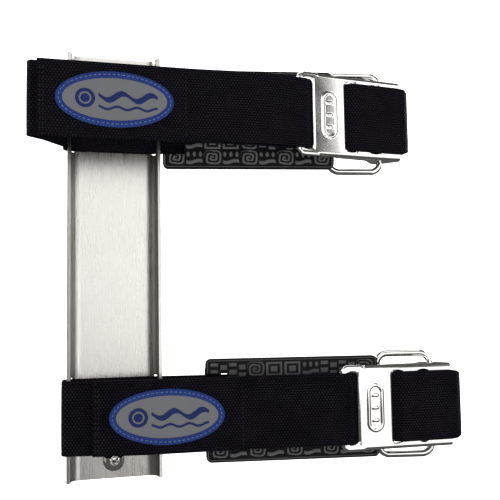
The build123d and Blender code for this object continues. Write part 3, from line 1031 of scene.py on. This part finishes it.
# %% Patches
def make_patch_face(name, band, path):
    """A square grid pressed into an ellipse: x = a u sqrt(1 - v^2 / 2), and z alike."""
    u, v = np.meshgrid(np.linspace(-1, 1, 181), np.linspace(-1, 1, 91), indexing="ij")
    x = (PATCH_LENGTH / 2 - PATCH_RIM + 0.3) * u * np.sqrt(1 - v ** 2 / 2)
    z = (PATCH_HEIGHT / 2 - PATCH_RIM + 0.3) * v * np.sqrt(1 - u ** 2 / 2)
    raised = patch_waves(x, z)
    spot = (band["patch_x"] + x, band["z"] + z)
    base = STRAP_THICK / 2
    front = on_path(path, spot[0], base + 0.8 + 0.25 * raised, spot[1]).reshape(-1, 3)
    back = on_path(path, spot[0], base - 0.1, spot[1]).reshape(-1, 3)
    points, faces = between(front, back, grid_faces(*u.shape))
    values = {"relief": np.concatenate([raised.ravel(), 0 * raised.ravel()])}
    face = new_piece(name + "_patch_face", points, faces, values=values)
    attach(give(face, PATCH_GREY, "patch_face", name + "_patch_face"), name + "_tail")


def oval(angle, inset):
    """A point on the patch's outline, moved in by inset."""
    return (PATCH_LENGTH / 2 - inset) * np.cos(angle), (PATCH_HEIGHT / 2 - inset) * np.sin(angle)


def make_patch_rim(name, band, path):
    """A bound edge: a low arch in section, ribbed by its threads."""
    angle = np.linspace(0, 2 * pi, 480, endpoint=False)
    arch = np.linspace(0, pi, 13)
    inset = PATCH_RIM * (0.5 + 0.5 * np.cos(arch))
    lift = PATCH_THICK * (0.35 + 0.65 * np.sin(arch) ** 0.55) * (arch > 0) * (arch < pi)
    inset, lift = np.append(inset, PATCH_RIM / 2), np.append(lift, -0.1)
    x, z = oval(angle[:, None], inset[None, :])
    ribs = 0.05 * np.cos(angle * 120)[:, None] * (lift > 0.5)[None, :]
    height = STRAP_THICK / 2 + lift[None, :] + ribs
    points = on_path(path, band["patch_x"] + x, height, band["z"] + z)
    faces = grid_faces(len(angle), len(inset), close_rows=True, close_columns=True)
    values = {"relief": np.broadcast_to(0.5 + 6 * ribs, x.shape)}
    rim = new_piece(name + "_patch_rim", points, faces, values=values)
    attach(give(rim, PATCH_BLUE, "patch_rim", name + "_patch_rim"), name + "_tail")


for name, band in BANDS.items():
    make_patch_face(name, band, tail_path(band))
    make_patch_rim(name, band, tail_path(band))

# %% [markdown]
# ## Stitches
# A stitch is a short, fat thread that goes into the cloth at both ends.  Its
# radius at fraction t is r * sqrt(1 - (2t - 1)^4), so that it is nearly even in
# the middle and round at the ends.


# %% Stitches
def stitches(name, start, end, up, radius):
    """One mesh of capsules, from start[k] to end[k], standing towards up[k]."""
    t = np.linspace(0, 1, 9)
    swell = radius * np.sqrt(np.clip(1 - (2 * t - 1) ** 4, 0.001, 1))
    turn = np.linspace(0, 2 * pi, 8, endpoint=False)
    way = end - start
    side = np.cross(way, up)
    side /= np.linalg.norm(side, axis=1)[:, None]
    middle = start[:, None, :] + way[:, None, :] * t[None, :, None]
    out = side[:, None, :] * np.cos(turn)[None, :, None] + up[:, None, :] * np.sin(turn)[None, :, None]
    points = middle[:, :, None, :] + swell[None, :, None, None] * out[:, None, :, :]
    one = grid_faces(len(t), len(turn), close_columns=True)
    faces = (one[None] + (np.arange(len(start)) * len(t) * len(turn))[:, None, None]).reshape(-1, 4)
    return new_piece(name, points, faces)


def rim_stitches(name, band):
    """Pale dashes round the middle of the patch's rim."""
    path = tail_path(band)
    angle = np.linspace(0, 2 * pi, 2000)
    x, z = oval(angle, PATCH_RIM * 0.45)
    reach = np.concatenate([[0], np.cumsum(np.hypot(np.diff(x), np.diff(z)))])
    count = int(reach[-1] / 3.1)
    first = np.interp(np.arange(count) * reach[-1] / count, reach, angle)
    last = np.interp(np.arange(count) * reach[-1] / count + 2.0, reach, angle)
    ends = []
    for turn in (first, last):
        x, z = oval(turn, PATCH_RIM * 0.45)
        ends.append(on_path(path, band["patch_x"] + x, STRAP_THICK / 2 + PATCH_THICK + 0.02, band["z"] + z))
    up = on_path(path, band["patch_x"] + x, 1.0, band["z"])
    up = up - on_path(path, band["patch_x"] + x, 0.0, band["z"])
    piece = stitches(name + "_rim_stitches", ends[0], ends[1], up, 0.26)
    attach(give(piece, PALE_THREAD, "patch_rim"), name + "_tail")


def row_stitches(name, band, path, columns, body, out):
    """Rows of dark stitches across a strap, at given x."""
    z = np.arange(-21.5, 21.6, 3.1)
    x = np.repeat(columns, len(z))
    z = np.tile(z, len(columns)) + band["z"]
    start = on_path(path, x, out, z - 1.1)
    end = on_path(path, x, out, z + 1.1)
    up = on_path(path, x, out + np.sign(out), z) - on_path(path, x, out, z)
    piece = stitches(name, start, end, up, 0.3)
    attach(give(piece, DARK_THREAD, "webbing"), body)


for name, band in BANDS.items():
    rim_stitches(name, band)
    hook_low, hook_high = band["tapes"][2:]
    rows = [hook_low + 2.0, hook_low + 4.0, hook_high - 2.0]
    row_stitches(name + "_tail_stitches", band, tail_path(band), rows, name + "_tail", STRAP_THICK / 2)
    length = far_line(band)[2]
    sewn = np.array([far_point(band, length + u, 0) for u in (-60.0, -1.0)])
    where = [far_point(band, length - u, 0)[0] for u in (37.0, 34.0, 18.0, 15.5)]
    row_stitches(name + "_sewn_stitches", band, sewn, where, "adapter", -1.5 * STRAP_THICK)

# %% [markdown]
# ## Levers
# A lever is one pressed sheet.  Its plate has three slots for the webbing, with
# lips curled under so that no edge cuts the cloth.  Its two long edges are
# folded down into side walls, which deepen towards the ears that the wire goes
# through.  The unrolled sheet is drawn first; the fold is put in afterwards.

# %% Lever sizes
LEVER_BEND = 2.2          # on the sheet's middle line
FOLD_START = LEVER_WIDTH / 2 - LEVER_SHEET / 2 - LEVER_BEND
FOLD_ARC = LEVER_BEND * pi / 2
MIDDLE = LEVER_SHEET / 2
WALL_S = (0.0, 16.0, 22.0, 60.4, 70.8, 78.6, 81.2, 87.0)
WALL_DEPTH = (0.0, 0.0, 5.0, 8.0, 17.7, 17.7, 12.5, 4.0)
LIP = 1.6                 # width of the curled lip round each slot
SLOT_HALF = STRAP_WIDTH / 2 + 0.6
FREE_CORNER = 6.0
EAR_HOLE = WIRE_RADIUS + 0.25


def sheet_edge(s):
    """Unrolled distance from the lever's middle to the edge of its sheet."""
    depth = np.interp(s, WALL_S, WALL_DEPTH)
    folded = FOLD_START + FOLD_ARC + depth - MIDDLE - LEVER_BEND
    round_off = FREE_CORNER - np.sqrt(FREE_CORNER ** 2 - np.clip(FREE_CORNER - s, 0, FREE_CORNER) ** 2)
    return np.maximum(folded, LEVER_WIDTH / 2) - round_off


def fold_down(s, t):
    """Height and width of a point t from the middle, once the wall is folded."""
    beyond = np.clip(t - FOLD_START, 0, None)
    angle = np.clip(beyond / LEVER_BEND, 0, pi / 2)
    straight = np.clip(beyond - FOLD_ARC, 0, None)
    width = np.minimum(t, FOLD_START) + LEVER_BEND * np.sin(angle)
    height = -LEVER_BEND * (1 - np.cos(angle)) - straight
    amount = smooth(s, 15.5, 20.0)
    return amount * height, t + amount * (width - t)


def pressed_mark(s, t):
    """A plain pressed bead: a racetrack ridge with three short ribs, 0 to 1."""
    middle = s - 26.0
    along = np.clip(np.abs(t) - 11.0, 0, None)
    track = np.abs(np.hypot(middle, along) - 5.2) - 0.8
    ribs = np.maximum(np.abs(np.abs(np.abs(t) - 4.5) - 4.5) - 0.8, np.abs(middle) - 2.2)
    return smooth(-np.minimum(track, ribs), -0.6, 0.6)


# %% Levers
def lever_sheet():
    """The lever's unrolled grid, with its slots and ear holes."""
    holes = [(low, high, -SLOT_HALF, SLOT_HALF, 3.6, LIP) for low, high in LEVER_SLOTS]
    ear = FOLD_START + FOLD_ARC + PIVOT_DROP - MIDDLE - LEVER_BEND
    for side in (-1, 1):
        rows = (side * ear - EAR_HOLE, side * ear + EAR_HOLE)
        holes.append((PIVOT_S - EAR_HOLE, PIVOT_S + EAR_HOLE, *rows, EAR_HOLE - 0.001, 0.8))
    widest = float(sheet_edge(PIVOT_S))
    s = ticks(0, LEVER_LENGTH, 0.5, hole_marks(holes, 0))
    t = ticks(-widest, widest, 0.5, hole_marks(holes, 2))
    return *flat_sheet(s, t, holes, 4), widest


def make_lever(name, band):
    """The pressed lever: its flat sheet, with the edges folded down into walls."""
    flat, faces, lip, widest = lever_sheet()
    s, side, t = flat[:, 0], np.sign(flat[:, 1]), np.abs(flat[:, 1])
    kept = np.where(s < LEVER_SLOTS[0][0] - LIP - 0.01, 18.0, SLOT_HALF + LIP)
    t = np.where(t > kept, kept + (t - kept) * (sheet_edge(s) - kept) / (widest - kept), t)
    height, width = fold_down(s, t)
    outer = np.clip(1 - np.minimum(s, sheet_edge(s) - t) / 2.0, 0, 1) * (s < 17)
    curl = 0.5 * lip ** 2 * (t <= kept + 0.01) + 0.8 * outer ** 2
    height = height - MIDDLE + 0.5 * pressed_mark(s, t) - curl
    plan = np.stack(lever_point(band, s, height), axis=-1)
    piece = new_piece(name + "_lever", stood(plan, band["z"] + side * width), faces, closed=False)
    thicken(piece, LEVER_SHEET, 0.3, 50.0)
    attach(give(piece, POLISHED, "polished_steel", name + "_cam_lever"), name + "_lever")


for name, band in BANDS.items():
    make_lever(name, band)

# %% [markdown]
# ## Bails
# Each bail is a wire bent into a ring: a circle carried round a rectangle with
# rounded corners.


# %% Bails
def ring_path(length, width, radius):
    """A closed rounded rectangle, centred, at even steps."""
    x, y = length / 2, width / 2
    corners = [(x, -y), (x, y), (-x, y), (-x, -y)]
    arcs = [arc_points(corners[k - 1], corners[k], corners[(k + 1) % 4], radius) for k in range(4)]
    loop = np.concatenate(arcs + [arcs[0][:1]])
    return walked(loop, 1.0)[:-1]


def make_bail(name, band):
    """The wire ring: a circle of the wire's radius carried round ring_path."""
    path = ring_path(BAIL_LENGTH, BAIL_WIDTH, BAIL_CORNER)
    ahead = np.roll(path, -1, axis=0) - np.roll(path, 1, axis=0)
    ahead /= np.linalg.norm(ahead, axis=1)[:, None]
    side = np.stack([ahead[:, 1], -ahead[:, 0]], axis=1)
    turn = np.linspace(0, 2 * pi, 28, endpoint=False)
    flat = path[:, None, :] + WIRE_RADIUS * np.cos(turn)[None, :, None] * side[:, None, :]
    lift = np.broadcast_to(WIRE_RADIUS * np.sin(turn)[None, :], flat.shape[:2])
    middle = turned(pivot(band), band["bail_slope"], -BAIL_LENGTH / 2, 0)
    plan = np.stack(turned(middle, band["bail_slope"], flat[..., 0], lift), axis=-1)
    faces = grid_faces(len(path), len(turn), close_rows=True, close_columns=True)
    piece = new_piece(name + "_bail", stood(plan, band["z"] + flat[..., 1]), faces)
    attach(give(piece, POLISHED, "polished_steel", name + "_wire_bail"), name + "_bail")


for name, band in BANDS.items():
    make_bail(name, band)

# %% [markdown]
# ## Grip pads
# A pad is moulded rubber.  Its tank side is covered by a relief that grips the
# cylinder: rounded spirals, blocks and rows of beads, each in its own tile.
# They are plain patterns, worked out by formula from the place in the tile.  A
# value stored with each point says how high it stands, and the rubber's paler
# tone reads that value.

# %% Relief of a pad
TILE_LONG = 14.2
PAD_CORNER = 4.0
PAD_FACE = STRAP_THICK / 2 + PLAY


def spiral_tile(p, q):
    """Lines where radius * 2.4 - turn passes a whole number, in a soft square."""
    radius = (np.abs(p) ** 4 + np.abs(q) ** 4) ** 0.25
    wave = np.cos(2 * pi * (radius * 2.4 - np.arctan2(q, p) / (2 * pi)))
    return smooth(wave, -0.35, 0.35) * smooth(0.97 - radius, 0, 0.06)


def block_tile(p, q):
    """A solid frame round a smaller block."""
    out = np.maximum(np.abs(p) - 0.92, np.abs(q) - 0.9)
    ring = np.abs(out + 0.42) - 0.09
    return smooth(-np.maximum(out, -ring), 0, 0.08)


def bead_tile(p, q):
    """Two rows of beads over a wavy bar."""
    beads = 0.3 - np.hypot((p * 1.5 + 1.5) % 1.0 - 0.5, (q - 0.45) * 0.8)
    bar = 0.26 - np.abs(q + 0.5 - 0.14 * np.sin(p * pi))
    inside = 0.94 - np.abs(p)
    return smooth(np.minimum(np.maximum(beads, bar), inside), 0, 0.08)


def step_tile(p, q):
    """Broad bars in two halves, one half set lower."""
    bars = 0.27 - np.abs((q + 1.0 + 0.2 * np.sign(p)) % 1.0 - 0.5) * 0.75
    edge = np.minimum(0.93 - np.abs(p), 0.9 - np.abs(q))
    return smooth(np.minimum(np.minimum(bars, edge), np.abs(p - 0.05) - 0.09), 0, 0.08)


def pad_relief(u, v):
    """Height 0 to 1 and paleness 0 to 1 on a pad; u from its left end, v from its middle."""
    edge = np.minimum(np.minimum(u, PAD_LENGTH - u), PAD_WIDTH / 2 - np.abs(v))
    long = (u - 2.8) / TILE_LONG * (PAD_LENGTH / (PAD_LENGTH - 5.6))
    high = (v + PAD_WIDTH / 2 - 2.4) / ((PAD_WIDTH - 4.8) / 6)
    column, row = np.floor(long), np.floor(high)
    p, q = 2 * (long - column) - 1, 2 * (high - row) - 1
    kind = (column * 2 + row * 3 + (column * row) % 3) % 4
    shapes = [spiral_tile(p, q), block_tile(p, q), bead_tile(p, q)]
    tiles = np.select([kind == 0, kind == 1, kind == 2], shapes, step_tile(p, q))
    tiles = tiles * smooth(edge, 2.2, 2.7)
    line = smooth(edge, 0.9, 1.2) * (1 - smooth(edge, 1.5, 1.8))
    rim = 1 - smooth(edge, 1.5, 1.9)
    return np.maximum(tiles, rim), np.maximum(tiles, line)


# %% Pads
def box_parts(low, high):
    """Six faces of a box between two corners: (points, faces)."""
    picks = np.array([[i, j, k] for i in (0, 1) for j in (0, 1) for k in (0, 1)])
    points = np.where(picks == 1, high, low).astype(float)
    faces = np.array([[0, 1, 3, 2], [4, 6, 7, 5], [0, 4, 5, 1], [2, 3, 7, 6], [0, 2, 6, 4], [1, 5, 7, 3]])
    return points, faces


def pad_plate():
    """The plate as (u, v, n) points with the window notch left out, and its paleness."""
    inside, window = STRAP_WIDTH / 2 + STRAP_PLAY, PAD_WINDOW
    u = ticks(0, PAD_LENGTH, 0.5, [window])
    v = ticks(-PAD_WIDTH / 2, PAD_WIDTH / 2, 0.5, [-inside, inside])
    flat, faces, _ = flat_sheet(u, v, [], 1)
    middle = flat[faces].mean(axis=1)
    faces = faces[~((middle[:, 0] < window) & (np.abs(middle[:, 1]) < inside))]
    used = np.unique(faces)
    renumber = np.zeros(len(flat), dtype=int)
    renumber[used] = np.arange(len(used))
    flat, faces = flat[used], renumber[faces]
    height, pale = pad_relief(flat[:, 0], flat[:, 1])
    end = np.minimum(flat[:, 0], PAD_LENGTH - flat[:, 0])
    lost = PAD_CORNER - np.sqrt(PAD_CORNER ** 2 - np.clip(PAD_CORNER - end, 0, PAD_CORNER) ** 2)
    beyond = np.clip(np.abs(flat[:, 1]) - inside - 0.6, 0, None) / (PAD_WIDTH / 2 - inside - 0.6)
    v = flat[:, 1] - np.sign(flat[:, 1]) * lost * beyond
    front = np.stack([flat[:, 0], v, PAD_FACE + PAD_THICK - 0.6 * (1 - height)], axis=1)
    back = np.stack([flat[:, 0], v, 0 * v + PAD_FACE], axis=1)
    points, faces = between(front, back, faces)
    return points, faces, np.concatenate([pale, 0 * pale])


def pad_keepers():
    """The bar behind the window, and the keeper near the other end."""
    inside, side = STRAP_WIDTH / 2 + STRAP_PLAY, 3.2
    parts = []
    for low, back in ((0.0, -PAD_FACE), (PAD_LENGTH - 38.0, -PAD_FACE - STRAP_THICK)):
        parts.append(box_parts((low, -inside - side, back - PAD_THICK), (low + 12.0, inside + side, back)))
        for way in (-1, 1):
            edges = sorted((way * inside, way * (inside + side)))
            parts.append(box_parts((low, edges[0], back - 0.6), (low + 12.0, edges[1], PAD_FACE + 0.4)))
    return joined(parts)


def make_pad(name, band):
    """The rubber pad: its plate in relief, joined to the keepers behind it."""
    plate, plate_faces, pale = pad_plate()
    keepers, keeper_faces = pad_keepers()
    points, faces = joined([(plate, plate_faces), (keepers, keeper_faces)])
    pale = np.concatenate([pale, np.zeros(len(keepers))])
    left = far_line(band)[2] + band["pad_end"] - PAD_LENGTH
    plan = np.stack(far_point(band, left + points[:, 0], points[:, 2]), axis=-1)
    piece = new_piece(name + "_pad", stood(plan, band["z"] + points[:, 1]), faces, values={"relief": pale})
    bevel = piece.modifiers.new("eased edges", "BEVEL")
    bevel.width = 0.4 * MM
    bevel.limit_method = "ANGLE"
    bevel.angle_limit = radians(75)
    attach(give(piece, PAD_RUBBER, "pad_rubber", name + "_grip_pad"), name + "_pad")


for name, band in BANDS.items():
    make_pad(name, band)

# %% [markdown]
# ## Backdrop
# The adapter is shown against plain white, as in a catalogue.  One sheet makes
# floor and wall, with a wide curve between them so that no line shows.  It
# glows a little of its own, to stay white.  Shiny metal doesn't see it: metal
# in front of a white wall would lose its edges, so its reflections come from
# the room and the lights alone.

# %% Stage
def make_stage():
    """A floor that curves up into a wall, in one sheet."""
    profile = rounded_path([(-2.5, -0.159), (0.9, -0.159), (0.9, 2.4)], [0.5], 0.02)
    x = np.linspace(-3.0, 3.0, 25)
    points = np.stack(np.broadcast_arrays(x[None, :], profile[:, :1], profile[:, 1:]), axis=-1) / MM
    sheet = new_piece("backdrop", points, grid_faces(len(profile), len(x)), closed=False)
    sheet.data.materials.append(BACKDROP)
    sheet.visible_glossy = False


def backdrop_finish():
    """Plain white paper that glows a little, so that it stays even."""
    material, wiring, shader = new_finish("backdrop", Roughness=0.9)
    spots = wiring.group(MOTTLE, Place=object_place(wiring), Scale=2.0)
    clouded = wiring.math("MULTIPLY", spots["Slow"], 0.3)
    tone = wiring.blend(clouded, (0.92, 0.92, 0.92, 1), (0.88, 0.88, 0.88, 1))
    wiring.feed(shader.inputs["Base Color"], tone)
    wiring.feed(shader.inputs["Emission Color"], tone)
    shader.inputs["Emission Strength"].default_value = 0.9
    return material


BACKDROP = backdrop_finish()
make_stage()

# %% [markdown]
# ## Lights
# Polished steel shows whatever stands in front of it.  A broad card behind the
# camera gives the channel its even tone.  Two panels are placed where each
# lever's plate would throw the camera's gaze, and the upper one only reaches
# part of the plate, which leaves it half dark.  The room itself is dim, which
# draws the dark lines along the wires.  Two more lights stand behind, for anyone
# who walks round to the back.

# %% Lights
def area_light(name, place, aim, size, power):
    """A soft rectangular light at a place in metres, turned towards a point."""
    lamp = bpy.data.lights.new(name, "AREA")
    lamp.shape = "RECTANGLE"
    lamp.size, lamp.size_y = size
    lamp.energy = power
    lamp_object = bpy.data.objects.new(name, lamp)
    bpy.context.collection.objects.link(lamp_object)
    way = np.subtract(aim, place)
    lamp_object.rotation_euler = Vector(way).to_track_quat("-Z", "Y").to_euler()
    lamp_object.location = place
    return lamp_object


area_light("key", (-0.9, -1.4, 1.2), (0.08, 0, 0), (1.1, 0.9), 8)
area_light("front_card", (0.25, -2.0, 0.4), (0.05, 0, 0), (1.5, 1.5), 12)
area_light("low_panel", (0.86, -1.3, -0.35), (0.2, 0, -0.1), (0.8, 0.9), 3.2)
area_light("high_panel", (1.2, -0.95, 0.44), (0.16, 0, 0.1), (0.6, 0.9), 3.4)
area_light("top", (0.1, -0.3, 1.6), (0.08, 0, 0), (1.4, 1.0), 8)
area_light("back_left", (-1.3, 0.62, 0.7), (0.08, 0, 0), (0.7, 0.9), 12)
area_light("back_right", (1.4, 0.6, 0.4), (0.08, 0, 0), (0.7, 0.9), 10)

world = bpy.data.worlds.new("room")
world.use_nodes = True
world.node_tree.nodes["Background"].inputs["Color"].default_value = (1, 1, 1, 1)
world.node_tree.nodes["Background"].inputs["Strength"].default_value = 0.1
bpy.context.scene.world = world
bpy.context.scene.view_settings.view_transform = "Standard"
